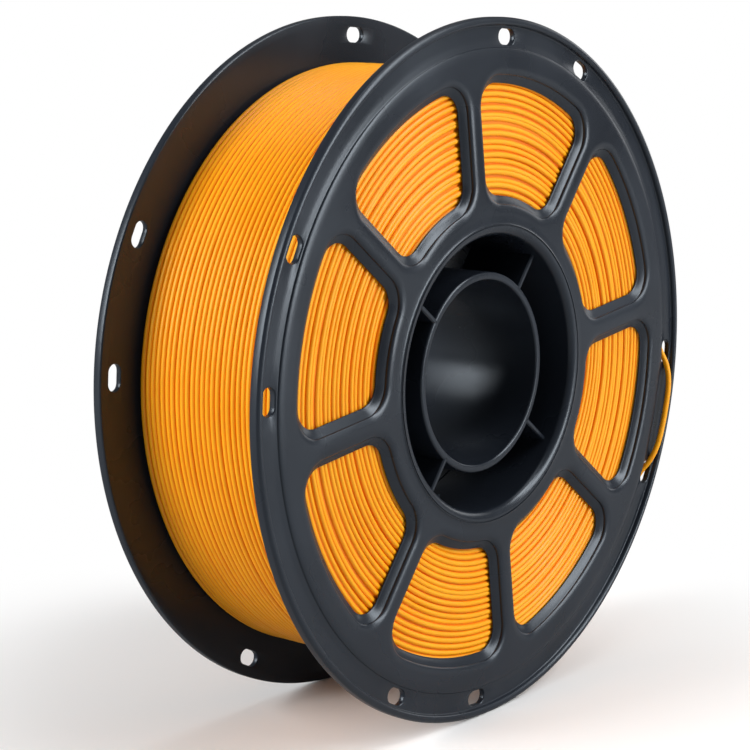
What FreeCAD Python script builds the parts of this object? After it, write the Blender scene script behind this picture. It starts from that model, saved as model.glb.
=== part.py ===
import FreeCAD, Part
import enum
import math
import os

import Sketcher

# Filament spool: two equal moulded halves snapped together back to back, and one strand of
# filament wound on the barrel between them. The spool stands on its rims, its axis along Y,
# the origin on the axis half way between the flanges. Millimetres and degrees.

SIZES = {
    "spool_width": (59.2, "outer face of one rim to the outer face of the other"),
    "flange_radius": (100.0, "outer radius of the flanges"),
    "plate_thickness": (3.1, "inner face of a flange to the top of its rim bead"),
    "web_setback": (0.4, "how far the web lies below the rim bead"),
    "bead_width": (2.7, "raised bead round the rim"),
    "bead_bevel": (0.8, "bevel on the outer edge of the rim"),
    "channel_width": (5.3, "sunk channel inside the bead, where the strand's end lies"),
    "channel_depth": (1.4, "channel's floor below the bead"),
    "barrel_radius": (42.0, "outside of the barrel that carries the winding"),
    "barrel_wall": (2.5, "wall of the barrel"),
    "hub_bevel_width": (2.1, "bevel from the inside of the barrel out to the hub's lip"),
    "hub_bevel_depth": (1.5, "depth of the same bevel"),
    "hub_lip_width": (2.0, "raised lip round the hub's opening"),
    "bore_radius": (26.5, "bore that turns on a spool holder"),
    "bore_wall": (2.3, "wall of the bore's tube"),
    "mouth_setback": (4.2, "mouth of the bore's tube below the face"),
    "rib_thickness": (1.5, "ribs between the tube and the barrel"),
    "rib_foot": (3.0, "lower edge of the ribs above the joint between the halves"),
    "rib_count": (4, "ribs in one half"),
    "window_count": (8, "windows in one flange, with a spoke between each two"),
    "window_margin": (15.8, "rim to the outer edge of the windows at the face"),
    "window_inner_margin": (6.2, "barrel to the inner edge of the windows at the face"),
    "window_corner": (8.5, "radius of the windows' corners at the face"),
    "window_draft": (41.0, "slope of the windows' walls, in degrees"),
    "spoke_width": (5.8, "width of a spoke at the face"),
    "slot_length": (7.5, "slots for the strand's end, along the rim"),
    "slot_width": (4.5, "the same slots, across the rim"),
    "slot_corner": (1.3, "bevel of the slots' corners"),
    "slot_spread": (23.6, "angle between the two slots of a pair"),
    "slot_pairs": (4, "pairs of slots in one flange"),
    "hook_span": (9.0, "angle that a snap hook covers"),
    "hook_thickness": (1.6, "thickness of a snap hook"),
    "hook_root": (10.0, "length of the hook along its own barrel"),
    "hook_reach": (6.0, "length of the hook beyond the joint"),
    "hook_barb": (1.0, "how far the barb stands into its catch"),
    "hook_foot": (1.0, "where the hook parts from its own barrel, above the joint"),
    "catch_setback": (3.0, "near edge of the catch from the joint"),
    "catch_margin": (2.0, "angle by which a catch is wider than its hook"),
    "snap_clearance": (0.25, "play of a hook in the other half"),
    "strand_diameter": (1.75, "filament"),
    "winding_margin": (13.4, "rim to the outside of the winding"),
    "winding_play": (0.1, "winding to flanges and barrel"),
    "winding_turns": (6, "turns of the outer layer"),
    "winding_edge": (1.3, "axis of the first and the last turn to its flange"),
    "layer_lift": (0.3, "inner layers to the outer layer"),
    "layer_ridges": (3, "ridges on each side of the inner layers, where the ends of the layers show"),
    "layer_ridge_height": (0.9, "height of those ridges"),
    "layer_flats": (64, "flats round the inner layers"),
    "strand_leaves": (19.9, "where the strand's end leaves the winding, in degrees above the X axis"),
    "strand_run": (18.0, "straight run of the strand's end off the winding"),
    "turned_by": (7.2, "angle of the first spoke above the X axis, in degrees"),
}

document = FreeCAD.newDocument("FilamentSpool")
sheet = document.addObject("Spreadsheet::Sheet", "Sheet")
for row, (name, (size, meaning)) in enumerate(SIZES.items(), 1):
    sheet.set(f"A{row}", meaning)
    sheet.set(f"B{row}", str(size))
    sheet.setAlias(f"B{row}", name)
document.recompute()

X_AXIS, Y_AXIS, Z_AXIS = FreeCAD.Vector(1, 0, 0), FreeCAD.Vector(0, 1, 0), FreeCAD.Vector(0, 0, 1)


class Point(enum.IntEnum):
    """The points of a line or an arc that a constraint can name."""

    START = 1
    END = 2
    CENTRE = 3


ORIGIN = -Point.START
GUESSED_RADIUS = 10.0


def size(name):
    return float(sheet.get(name))


def vector(x, y, z=0.0):
    return FreeCAD.Vector(x, y, z)


def origin_feature(body, role):
    return next(item for item in body.Origin.OriginFeatures if item.Role == role)


def new_sketch(body, name, plane, turn=0.0, height=None):
    """A sketch on one of the body's own planes, turned about the body's Z axis."""
    sketch = body.newObject("Sketcher::SketchObject", name)
    sketch.AttachmentSupport = [(origin_feature(body, plane), "")]
    sketch.MapMode = "FlatFace"
    own_axis = Z_AXIS if plane == "XY_Plane" else Y_AXIS
    sketch.AttachmentOffset = FreeCAD.Placement(vector(0, 0), FreeCAD.Rotation(own_axis, turn))
    if height:
        sketch.setExpression("AttachmentOffset.Base.z", height)
    return sketch


def bind(sketch, kind, *what, to):
    """Add a constraint and tie its value to a formula of the sheet's cells."""
    index = sketch.addConstraint(Sketcher.Constraint(kind, *what))
    sketch.setExpression(f"Constraints[{index}]", to)


def outline(sketch, corners):
    """A closed outline of straight lines. Each corner is a pair of formulas, x and y."""
    guess = [vector(math.cos(i), math.sin(i)) * GUESSED_RADIUS for i in range(len(corners))]
    for i, corner in enumerate(guess):
        sketch.addGeometry(Part.LineSegment(corner, guess[(i + 1) % len(corners)]))
    for i, (x, y) in enumerate(corners):
        after = (i + 1) % len(corners)
        sketch.addConstraint(Sketcher.Constraint("Coincident", i, Point.END, after, Point.START))
        bind(sketch, "DistanceX", ORIGIN, Point.START, i, Point.START, guess[i].x, to=x)
        bind(sketch, "DistanceY", ORIGIN, Point.START, i, Point.START, guess[i].y, to=y)


def add_pattern(body, feature, count):
    """Copies of a feature, evenly spaced about the body's Z axis."""
    pattern = body.newObject("PartDesign::PolarPattern", feature.Name + "Ring")
    pattern.Originals = [feature]
    pattern.Axis = (origin_feature(body, "Z_Axis"), [""])
    pattern.Angle = 360
    pattern.setExpression("Occurrences", count)
    body.Tip = pattern
    return pattern


def add_turned_shell(body):
    """The turned form of one half: plate with rim bead, channel and hub lip, and the barrel."""
    face = "Sheet.spool_width / 2"
    web = f"{face} - Sheet.web_setback"
    floor = f"{face} - Sheet.channel_depth"
    inner_face = f"{face} - Sheet.plate_thickness"
    rim = "Sheet.flange_radius"
    bead = "Sheet.flange_radius - Sheet.bead_width"
    channel = f"{bead} - Sheet.channel_width"
    barrel, hollow = "Sheet.barrel_radius", "Sheet.barrel_radius - Sheet.barrel_wall"
    lip = f"{hollow} + Sheet.hub_bevel_width"
    sketch = new_sketch(body, "TurnedOutline", "XZ_Plane")
    outline(sketch, [
        (hollow, "0"),
        (hollow, f"{face} - Sheet.hub_bevel_depth"),
        (lip, face),
        (f"{lip} + Sheet.hub_lip_width", web),
        (f"{channel} - Sheet.web_setback", web),
        (channel, floor),
        (bead, floor),
        (f"{rim} - Sheet.bead_width / 2", face),
        (rim, f"{face} - Sheet.bead_bevel"),
        (rim, inner_face),
        (barrel, inner_face),
        (barrel, "0"),
    ])
    shell = body.newObject("PartDesign::Revolution", "TurnedShell")
    shell.Profile = sketch
    shell.ReferenceAxis = (sketch, ["V_Axis"])
    shell.Angle = 360
    return shell


def arc(centre, radius, first, last):
    return Part.ArcOfCircle(Part.Circle(centre, Z_AXIS, radius), first, last)


def add_windows(body):
    """Windows between parallel-sided spokes, drawn at the web's face and narrowing inwards."""
    half = math.pi / size("window_count")
    outer = size("flange_radius") - size("window_margin")
    inner = size("barrel_radius") + size("window_inner_margin")
    corner, edge = size("window_corner"), size("spoke_width") / 2
    sketch = new_sketch(body, "WindowOutline", "XY_Plane", 180 / size("window_count"),
                        "Sheet.spool_width / 2 - Sheet.web_setback")
    along, across = vector(math.cos(half), math.sin(half)), vector(math.sin(half), -math.cos(half))
    far = along * math.sqrt((outer - corner) ** 2 - (edge + corner) ** 2) + across * (edge + corner)
    near = along * math.sqrt((inner + corner) ** 2 - (edge + corner) ** 2) + across * (edge + corner)
    far_angle, near_angle = math.atan2(far.y, far.x), math.atan2(near.y, near.x)
    quarter, centre = math.pi / 2, vector(0, 0)
    far_end, near_end = far - across * corner, near - across * corner

    def below(point):
        return vector(point.x, -point.y)

    outer_arc = sketch.addGeometry(arc(centre, outer, -far_angle, far_angle))
    inner_arc = sketch.addGeometry(arc(centre, inner, -near_angle, near_angle))
    corners = [
        sketch.addGeometry(arc(far, corner, far_angle, half + quarter)),
        sketch.addGeometry(arc(near, corner, half + quarter, near_angle + math.pi)),
        sketch.addGeometry(arc(below(near), corner, math.pi - near_angle, 3 * quarter - half)),
        sketch.addGeometry(arc(below(far), corner, -half - quarter, -far_angle)),
    ]
    upper = sketch.addGeometry(Part.LineSegment(near_end, far_end))
    lower = sketch.addGeometry(Part.LineSegment(below(near_end), below(far_end)))
    start, end = Point.START, Point.END
    for first, first_end, second, second_end in (
            (outer_arc, end, corners[0], start), (corners[0], end, upper, end),
            (upper, start, corners[1], start), (corners[1], end, inner_arc, end),
            (inner_arc, start, corners[2], start), (corners[2], end, lower, start),
            (lower, end, corners[3], start), (corners[3], end, outer_arc, start)):
        sketch.addConstraint(Sketcher.Constraint("Tangent", first, first_end, second, second_end))
    for ring in (outer_arc, inner_arc):
        sketch.addConstraint(Sketcher.Constraint("Coincident", ring, Point.CENTRE, ORIGIN, start))
    bind(sketch, "Radius", outer_arc, outer, to="Sheet.flange_radius - Sheet.window_margin")
    bind(sketch, "Radius", inner_arc, inner, to="Sheet.barrel_radius + Sheet.window_inner_margin")
    for item in corners:
        bind(sketch, "Radius", item, corner, to="Sheet.window_corner")
    for side, sign in ((upper, 1), (lower, -1)):
        bind(sketch, "Distance", ORIGIN, start, side, edge, to="Sheet.spoke_width / 2")
        bind(sketch, "Angle", side, sign * half, to=f"{sign} * 180 / Sheet.window_count * 1 deg")
    window = body.newObject("PartDesign::Pocket", "Window")
    window.Profile = sketch
    window.setExpression("Length", "Sheet.plate_thickness - Sheet.web_setback")
    window.setExpression("TaperAngle", "-Sheet.window_draft * 1 deg")
    return add_pattern(body, window, "Sheet.window_count")


def add_slots(body, name, turn):
    """Slots in the channel's floor, one in each pair, that hold the strand's end."""
    middle = "Sheet.flange_radius - Sheet.bead_width - Sheet.channel_width / 2"
    wide, slim = "Sheet.slot_width / 2", "(Sheet.slot_width / 2 - Sheet.slot_corner)"
    long, short = "Sheet.slot_length / 2", "(Sheet.slot_length / 2 - Sheet.slot_corner)"
    sketch = new_sketch(body, name + "Outline", "XY_Plane", turn,
                        "Sheet.spool_width / 2 - Sheet.channel_depth")
    outline(sketch, [(f"{middle} {x}", y) for x, y in (
        (f"+ {wide}", f"-{short}"), (f"+ {wide}", short), (f"+ {slim}", long), (f"- {slim}", long),
        (f"- {wide}", short), (f"- {wide}", f"-{short}"), (f"- {slim}", f"-{long}"),
        (f"+ {slim}", f"-{long}"))])
    slot = body.newObject("PartDesign::Pocket", name)
    slot.Profile = sketch
    slot.setExpression("Length", "Sheet.plate_thickness - Sheet.channel_depth")
    return add_pattern(body, slot, "Sheet.slot_pairs")


def add_ribs(body):
    """Radial ribs that join the bore's tube to the barrel, under every second spoke."""
    sketch = new_sketch(body, "RibOutline", "XY_Plane", 360 / size("window_count"), "Sheet.rib_foot")
    inner = "Sheet.bore_radius + Sheet.bore_wall / 2"
    outer = "Sheet.barrel_radius - Sheet.barrel_wall / 2"
    outline(sketch, [(inner, "-Sheet.rib_thickness / 2"), (outer, "-Sheet.rib_thickness / 2"),
                     (outer, "Sheet.rib_thickness / 2"), (inner, "Sheet.rib_thickness / 2")])
    rib = body.newObject("PartDesign::Pad", "Rib")
    rib.Profile = sketch
    rib.setExpression("Length", "Sheet.spool_width / 2 - Sheet.mouth_setback - Sheet.rib_foot")
    return add_pattern(body, rib, "Sheet.rib_count")


def add_bore(body):
    """The tube round the bore, which the ribs carry."""
    tube = "Sheet.bore_radius + Sheet.bore_wall"
    mouth = "Sheet.spool_width / 2 - Sheet.mouth_setback"
    sketch = new_sketch(body, "BoreOutline", "XZ_Plane")
    outline(sketch, [("Sheet.bore_radius", "0"), ("Sheet.bore_radius", mouth), (tube, mouth), (tube, "0")])
    bore = body.newObject("PartDesign::Revolution", "BoreTube")
    bore.Profile = sketch
    bore.ReferenceAxis = (sketch, ["V_Axis"])
    bore.Angle = 360
    return bore


def add_hooks(body, turn):
    """Snap hooks on the inside of the barrel, their barbs beyond the joint."""
    wall, buried = "Sheet.barrel_radius - Sheet.barrel_wall", "Sheet.barrel_radius - Sheet.barrel_wall / 2"
    outside = f"{wall} - Sheet.snap_clearance"
    inside = f"{outside} - Sheet.hook_thickness"
    barb = f"{wall} + Sheet.hook_barb"
    catch = "-(Sheet.catch_setback + Sheet.snap_clearance)"
    sketch = new_sketch(body, "HookOutline", "XZ_Plane", turn)
    outline(sketch, [
        (inside, "Sheet.hook_root"),
        (buried, "Sheet.hook_root"),
        (buried, "Sheet.hook_foot"),
        (outside, "Sheet.hook_foot"),
        (outside, catch),
        (barb, catch),
        (barb, f"{catch} - Sheet.hook_barb / 2"),
        (outside, "-Sheet.hook_reach"),
        (inside, "-Sheet.hook_reach"),
    ])
    hook = body.newObject("PartDesign::Revolution", "Hook")
    hook.Profile = sketch
    hook.ReferenceAxis = (sketch, ["V_Axis"])
    hook.Midplane = True
    hook.setExpression("Angle", "Sheet.hook_span * 1 deg")
    return add_pattern(body, hook, "Sheet.slot_pairs")


def add_catches(body, turn):
    """Blind catches in the barrel's wall for the other half's hooks."""
    wall = "Sheet.barrel_radius - Sheet.barrel_wall"
    deep = f"{wall} + Sheet.hook_barb + Sheet.snap_clearance"
    shallow = f"{wall} - Sheet.snap_clearance"
    sketch = new_sketch(body, "CatchOutline", "XZ_Plane", turn)
    far = "Sheet.hook_reach + Sheet.snap_clearance"
    outline(sketch, [(shallow, "Sheet.catch_setback"), (deep, "Sheet.catch_setback"),
                     (deep, far), (shallow, far)])
    catch = body.newObject("PartDesign::Groove", "Catch")
    catch.Profile = sketch
    catch.ReferenceAxis = (sketch, ["V_Axis"])
    catch.Midplane = True
    catch.setExpression("Angle", "(Sheet.hook_span + Sheet.catch_margin) * 1 deg")
    return add_pattern(body, catch, "Sheet.slot_pairs")


def make_half(label):
    """One moulding, its axis along its own Z, the joint at zero and the face at the top."""
    body = document.addObject("PartDesign::Body", label)
    body.Label = label
    pair = 180 / size("window_count") * 3
    turn = size("slot_spread") / 2
    add_turned_shell(body)
    add_windows(body)
    add_slots(body, "SlotAhead", pair + turn)
    add_slots(body, "SlotBehind", pair - turn)
    add_ribs(body)
    add_bore(body)
    add_hooks(body, pair + turn)
    add_catches(body, pair - turn)
    document.recompute()
    return body


def place_halves(front, rear):
    """Face the front half to -Y, and turn the rear half over about the line between two slots."""
    facing = FreeCAD.Rotation(X_AXIS, 90) * FreeCAD.Rotation(Z_AXIS, size("turned_by"))
    front.Placement = FreeCAD.Placement(vector(0, 0), facing)
    pair = math.radians(size("turned_by") + 180 / size("window_count") * 3)
    hinge = vector(math.cos(pair), 0, math.sin(pair))
    rear.Placement = FreeCAD.Placement(vector(0, 0), FreeCAD.Rotation(hinge, 180) * facing)


def add_inner_layers(winding):
    """The layers under the outer one: a drum on the barrel, with ridges on both its sides."""
    flats, slopes = int(size("layer_flats")), 2 * int(size("layer_ridges"))
    # The flats of the bore, and not its corners, keep the play to the barrel.
    inside = (size("barrel_radius") + size("winding_play")) / math.cos(math.pi / flats)
    outside = winding.radius - winding.thick / 2 - size("layer_lift")
    crest = size("spool_width") / 2 - size("plate_thickness") - size("winding_play")
    profile = []
    for step in range(slopes + 1):
        radius = inside + (outside - inside) * step / slopes
        profile.append((radius, crest if step % 2 else crest - size("layer_ridge_height")))
    profile += [(radius, -height) for radius, height in reversed(profile)]
    turns = [2 * math.pi * i / flats for i in range(flats)]
    rings = [[vector(radius * math.cos(turn), height, radius * math.sin(turn)) for turn in turns]
             for radius, height in profile]
    faces = []
    for ring, after in zip(rings, rings[1:] + rings[:1]):
        for i in range(flats):
            corners = [ring[i - 1], ring[i], after[i], after[i - 1]]
            faces.append(Part.Face(Part.makePolygon(corners + corners[:1])))
    layers = document.addObject("Part::Feature", "winding_inner_layers")
    layers.Shape = Part.makeSolid(Part.makeShell(faces))
    layers.Label = "winding_inner_layers"
    return layers


def arc_edge(first, heading, last):
    """The arc from one point to another that starts along the heading."""
    chord = last - first
    swing = heading.getAngle(chord)
    corner = first + heading * (chord.Length / 2 / math.cos(swing))
    middle = (first + last) / 2
    outward = (corner - middle).normalize()
    return Part.Arc(first, middle + outward * (chord.Length / 2 * math.tan(swing / 2)), last).toShape()


def biarc(first, leaving, last, arriving):
    """Two arcs that join two points with a given heading at each."""
    chord, headings = last - first, leaving + arriving
    opening = 2 * (1 - leaving.dot(arriving))
    along = chord.dot(headings)
    reach = (math.sqrt(along ** 2 + opening * chord.dot(chord)) - along) / opening
    before, after = first + leaving * reach, last - arriving * reach
    joint = (before + after) / 2
    return [arc_edge(first, leaving, joint), arc_edge(joint, (after - before).normalize(), last)]


def strand_solid(path, corners):
    """Sweep a closed section, given by its corners, along a path of edges."""
    section = Part.makePolygon(corners + corners[:1])
    shell = Part.BRepOffsetAPI.MakePipeShell(path)
    shell.add(section)
    shell.build()
    shell.makeSolid()
    return shell.shape()


class Winding:
    """Places on the outer layer, which runs from the rear flange to the front one."""

    def __init__(self):
        self.turns = int(size("winding_turns"))
        self.thick = size("strand_diameter")
        self.radius = size("flange_radius") - size("winding_margin") - self.thick / 2
        self.half = size("spool_width") / 2 - size("plate_thickness") - size("winding_edge")
        self.pitch = 2 * self.half / self.turns
        self.leaves = math.radians(size("strand_leaves"))

    def place(self, turned):
        """The strand's axis after a number of turns."""
        angle = self.leaves + 2 * math.pi * (self.turns - turned)
        return vector(self.radius * math.cos(angle), self.half - self.pitch * turned,
                      self.radius * math.sin(angle))

    def heading(self, turned):
        angle = self.leaves + 2 * math.pi * (self.turns - turned)
        climb = self.pitch / (2 * math.pi * self.radius)
        return vector(math.sin(angle), -climb, -math.cos(angle)).normalize()


def add_outer_layer(winding):
    """The outer layer as one unbroken strand of three-sided section, flat side inwards."""
    edges = []
    for step in range(2 * winding.turns):
        first, last = step / 2, (step + 1) / 2
        edges += biarc(winding.place(first), winding.heading(first),
                       winding.place(last), winding.heading(last))
    start, heading = winding.place(0), winding.heading(0)
    outward = vector(start.x, 0, start.z).normalize()
    half = winding.thick / 2
    # The section turns slowly on its way along the drum, so it starts half that turn back.
    roll = FreeCAD.Rotation(heading, -math.degrees(winding.half / winding.radius))
    corners = [start + roll.multVec(outward * x + heading.cross(outward) * y)
               for x, y in ((-half, -half), (half, 0), (-half, half))]
    layer = document.addObject("Part::Feature", "winding_outer_layer")
    layer.Shape = strand_solid(Part.Wire(edges), corners)
    layer.Label = "winding_outer_layer"
    print("outer layer: least gap between turns", round(least_gap(layer.Shape), 2), "mm")
    return layer


def least_gap(shape, stations=12):
    """The least distance between two turns, on the sections that planes through the axis cut."""
    gaps = []
    for i in range(stations):
        angle = math.pi * i / stations
        cuts = shape.slice(vector(-math.sin(angle), 0, math.cos(angle)), 0)
        for side in (1, -1):
            axis = vector(math.cos(angle), 0, math.sin(angle)) * side
            row = sorted((cut for cut in cuts if cut.CenterOfMass.dot(axis) > 0),
                         key=lambda cut: cut.CenterOfMass.y)
            gaps += [a.distToShape(b)[0] for a, b in zip(row, row[1:])]
    return min(gaps)


def rounded_path(points):
    """Straight runs joined by tangent arcs, each as large as its two runs allow."""
    share = 0.45
    edges, last, radii = [], points[0], []
    for before, point, after in zip(points, points[1:], points[2:]):
        inward, onward = (point - before).normalize(), (after - point).normalize()
        setback = share * min((point - before).Length, (after - point).Length)
        first, end = point - inward * setback, point + onward * setback
        radii.append(setback / math.tan(inward.getAngle(onward) / 2))
        edges += [Part.LineSegment(last, first).toShape(), arc_edge(first, inward, end)]
        last = end
    edges.append(Part.LineSegment(last, points[-1]).toShape())
    return edges, radii


# The strand's route round the two slots: which slot of its pair, degrees on from the middle
# of the slot, millimetres out from the slots' radius and millimetres out from the rim's face.
STRAND_ROUTE = (
    (0, -1.6, -0.5, -4.6),
    (0, 3.6, 0.3, 1.9),
    (0.5, 0.0, 0.4, 2.3),
    (1, -3.6, 0.3, 1.9),
    (1, 1.6, 0.0, -4.6),
    (1, 6.2, -0.6, -4.4),
)


def add_strand_end(winding):
    """The strand's end: off the winding, out through one slot, along the channel, in through the next."""
    slot_radius = size("flange_radius") - size("bead_width") - size("channel_width") / 2
    pair = size("turned_by") - 180 / size("window_count")
    start, heading = winding.place(winding.turns), winding.heading(winding.turns)
    points = [start, start + heading * size("strand_run")]
    for slot, onward, outward, height in STRAND_ROUTE:
        turned = math.radians(pair + size("slot_spread") * (0.5 - slot) - onward)
        radius = slot_radius + outward
        points.append(vector(radius * math.cos(turned), -size("spool_width") / 2 - height,
                             radius * math.sin(turned)))
    edges, radii = rounded_path(points)
    print("strand's end: bend radii", [round(radius, 1) for radius in radii], "mm, length",
          round(sum(edge.Length for edge in edges), 1), "mm")
    outward = vector(start.x, 0, start.z).normalize()
    across = heading.cross(outward)
    sides = 6
    corners = [start + (outward * math.cos(turn) + across * math.sin(turn)) * winding.thick / 2
               for turn in (2 * math.pi * i / sides for i in range(sides))]
    end = document.addObject("Part::Feature", "strand_end")
    end.Shape = strand_solid(Part.Wire(edges), corners)
    end.Label = "strand_end"
    return end


front = make_half("flange_half_front")
rear = make_half("flange_half_rear")
place_halves(front, rear)
winding = Winding()
pieces = [front, rear, add_inner_layers(winding), add_outer_layer(winding), add_strand_end(winding)]
document.recompute()
for item in document.Objects:
    if "Invalid" in item.State or "Error" in item.State:
        raise RuntimeError(f"{item.Label} failed: {item.State}")
for item in pieces:
    if item.Shape.isNull() or not item.Shape.isValid():
        raise RuntimeError(f"{item.Label} has no valid shape")
os.makedirs("parts", exist_ok=True)
for item in pieces:
    item.Shape.exportStep(f"parts/{item.Label}.step")
    print(item.Label, "solids", len(item.Shape.Solids), "volume", round(item.Shape.Volume, 1))
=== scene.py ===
# %% [markdown]
# A spool of filament: two equal charcoal mouldings, snapped together back to back, and one
# amber strand wound on the barrel between them. The solid model gives the outer sizes. This
# lesson keeps them and adds what a camera sees: rolled edges, slots with round ends, a grained
# moulding, and the strand laid turn by turn.

# %% Load the frame
import math

import bmesh
import bpy
import numpy as np
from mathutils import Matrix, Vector


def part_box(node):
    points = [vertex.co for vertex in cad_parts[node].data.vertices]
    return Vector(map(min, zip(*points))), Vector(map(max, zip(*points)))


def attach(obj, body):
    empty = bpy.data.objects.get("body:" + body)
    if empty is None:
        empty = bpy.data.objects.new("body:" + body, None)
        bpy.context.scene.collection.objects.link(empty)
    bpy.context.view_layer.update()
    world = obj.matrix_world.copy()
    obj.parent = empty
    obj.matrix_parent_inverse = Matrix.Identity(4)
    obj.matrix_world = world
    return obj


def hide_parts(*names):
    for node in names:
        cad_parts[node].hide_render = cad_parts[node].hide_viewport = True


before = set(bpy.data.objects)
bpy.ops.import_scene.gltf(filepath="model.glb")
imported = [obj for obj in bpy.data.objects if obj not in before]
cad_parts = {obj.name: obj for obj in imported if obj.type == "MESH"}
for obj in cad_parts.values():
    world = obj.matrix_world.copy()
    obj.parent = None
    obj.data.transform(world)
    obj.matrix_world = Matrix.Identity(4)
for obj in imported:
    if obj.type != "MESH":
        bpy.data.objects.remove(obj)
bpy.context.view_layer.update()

# %% [markdown]
# Lengths below are millimetres, because that is how a moulding is drawn, and a mesh gets them
# in metres. The outer radius and the face of the flange and of the winding are read from the
# frame, and what lies near the rim or the face is measured from there, so it follows. A half is
# drawn in its own axes: across, up, and height above the joint between the halves.

# %% Sizes
MM = 0.001
TAU = 2 * math.pi


def reach(node, axis, top=True):
    """How far a node reaches along an axis of the frame, in millimetres."""
    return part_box(node)[1 if top else 0][axis] / MM


RIM = reach("flange_half_front", 0)
FACE = -reach("flange_half_front", 1, top=False)
SIDE = reach("winding_inner_layers", 1)
WOUND = reach("winding_outer_layer", 0)
STRAND = 1.75

# Radii of the barrel's inside and outside, of the hub's lip, and of the bore and its tube.
HOLLOW, BARREL, LIP, BORE, TUBE = 39.5, 42.0, 42.3, 26.5, 28.8

# Heights of the tube's mouth, of the plate's two faces and of the floor of the rim's channel.
MOUTH, INNER_FACE, WEB, CHANNEL_FLOOR = FACE - 4.2, FACE - 3.1, FACE - 0.4, FACE - 1.4

# The windows, which lie between parallel-sided spokes.
WINDOWS = 8
PITCH = TAU / WINDOWS
FIRST_SPOKE = math.radians(7.2)
WINDOW_OUTER, WINDOW_INNER, WINDOW_CORNER = RIM - 15.8, 48.2, 8.5
SPOKE = 5.8

# The channel inside the rim, and its slots. They come in pairs, outside every second window.
CHANNEL_INNER, CHANNEL_OUTER = RIM - 7.95, RIM - 2.75
SLOT_LONG, SLOT_WIDE, SLOT_CORNER = 7.5, 4.5, 2.2
SLOT_RADIUS = RIM - 5.35
SLOT_SPREAD = math.radians(23.6)
print("rim", round(RIM, 2), "face", round(FACE, 2), "winding", round(WOUND, 2), "by", round(SIDE, 2))

# %% [markdown]
# A surface here is a grid of points, worked out as whole arrays. A model is several such
# patches that share their edges exactly, so merging the doubled points closes the seams.
# The alternative, cutting holes with booleans, leaves long thin faces that shade badly.

# %% Patches
SEAM, SLIVER = 2e-6, 1e-7
CREASE, ROUND_CREASE = 38.0, 80.0


class Patches:
    """Grids of points that become one mesh."""

    def __init__(self):
        self.points, self.crowns, self.quads, self.count = [], [], [], 0

    def add(self, grid, around=False, closed=False, crown=0.0):
        """Add a grid of points. around joins its last column to the first, closed its rows. crown
        says how far a point of a strand lies on its open side, from -1 to 1."""
        rows, columns = grid.shape[:2]
        index = np.arange(rows * columns).reshape(rows, columns) + self.count
        if around:
            index = np.hstack([index, index[:, :1]])
        if closed:
            index = np.vstack([index, index[:1]])
        corners = index[:-1, :-1], index[1:, :-1], index[1:, 1:], index[:-1, 1:]
        self.quads.append(np.stack(corners, -1).reshape(-1, 4))
        self.points.append(grid.reshape(-1, 3))
        self.crowns.append(np.broadcast_to(crown, (rows, columns)).ravel())
        self.count += rows * columns

    def make(self, name, place, crease=CREASE):
        """Merge the seams, turn every shell outwards, and shade it smooth up to the crease angle."""
        points = place(np.concatenate(self.points)) * MM
        mesh = bpy.data.meshes.new(name)
        mesh.from_pydata(points.tolist(), [], np.concatenate(self.quads).tolist())
        crown = mesh.attributes.new("crown", "FLOAT", "POINT")
        crown.data.foreach_set("value", np.concatenate(self.crowns).astype(np.float32))
        work = bmesh.new()
        work.from_mesh(mesh)
        bmesh.ops.remove_doubles(work, verts=work.verts, dist=SEAM)
        bmesh.ops.dissolve_degenerate(work, edges=work.edges, dist=SLIVER)
        bmesh.ops.recalc_face_normals(work, faces=work.faces)
        open_edges = sum(1 for edge in work.edges if not edge.is_manifold)
        work.to_mesh(mesh)
        work.free()
        mesh.shade_smooth()
        mesh.set_sharp_from_angle(angle=math.radians(crease))
        piece = bpy.data.objects.new(name, mesh)
        bpy.context.scene.collection.objects.link(piece)
        print(name, len(mesh.polygons), "faces,", open_edges, "open edges")
        return piece


def turned(profile, angles):
    """Turn a profile of radius and height about the axis: across is the radius times the cosine
    of the angle, up is the radius times its sine."""
    radius, height = np.asarray(profile, float).T
    across = radius[:, None] * np.cos(angles)
    up = radius[:, None] * np.sin(angles)
    return np.stack([across, up, np.repeat(height[:, None], len(angles), 1)], -1)


def quarter(start, end, steps, first_along_radius=True):
    """A quarter of an ellipse from one point of a profile to another. It leaves the start along
    the radius and reaches the end along the height, or the other way round."""
    turn = np.linspace(0, math.pi / 2, steps + 1)[1:]
    fast, slow = np.sin(turn), 1 - np.cos(turn)
    along, rise = (fast, slow) if first_along_radius else (slow, fast)
    return [(start[0] + (end[0] - start[0]) * a, start[1] + (end[1] - start[1]) * b)
            for a, b in zip(along, rise)]


# %% [markdown]
# The moulding is a plate with holes in it. Each window is a ring of profiles carried round its
# outline: over the rolled front edge, down the wall, along the ledge that frames the filament,
# and back along the inner face. Moving an outline of straight lines and arcs outwards is easy:
# the lines shift and the arcs grow, so every ring of the profile is exact.

# %% Outlines of the holes


def arc(centre, radius, first, last, steps=60):
    """Points of a circle between two angles: the centre plus the radius times the cosine and the
    sine of the angle."""
    turn = np.linspace(first, last, steps)
    return np.stack([centre[0] + radius * np.cos(turn), centre[1] + radius * np.sin(turn)], -1)


def spread(line, steps):
    """Points at even distances along a line of points, without its last one."""
    gone = np.concatenate([[0], np.cumsum(np.hypot(*np.diff(line, axis=0).T))])
    wanted = np.linspace(0, gone[-1], steps + 1)[:-1]
    return np.stack([np.interp(wanted, gone, line[:, 0]), np.interp(wanted, gone, line[:, 1])], -1)


def mirrored(line):
    """The same line below the middle of the hole, run the other way."""
    return line[::-1] * (1, -1)


def rotated(points, angle):
    """Points turned about the axis. Their heights, where they have any, stay."""
    cosine, sine = math.cos(angle), math.sin(angle)
    flat = points[..., :2] @ np.array([[cosine, sine], [-sine, cosine]])
    return np.concatenate([flat, points[..., 2:]], -1)


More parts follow.
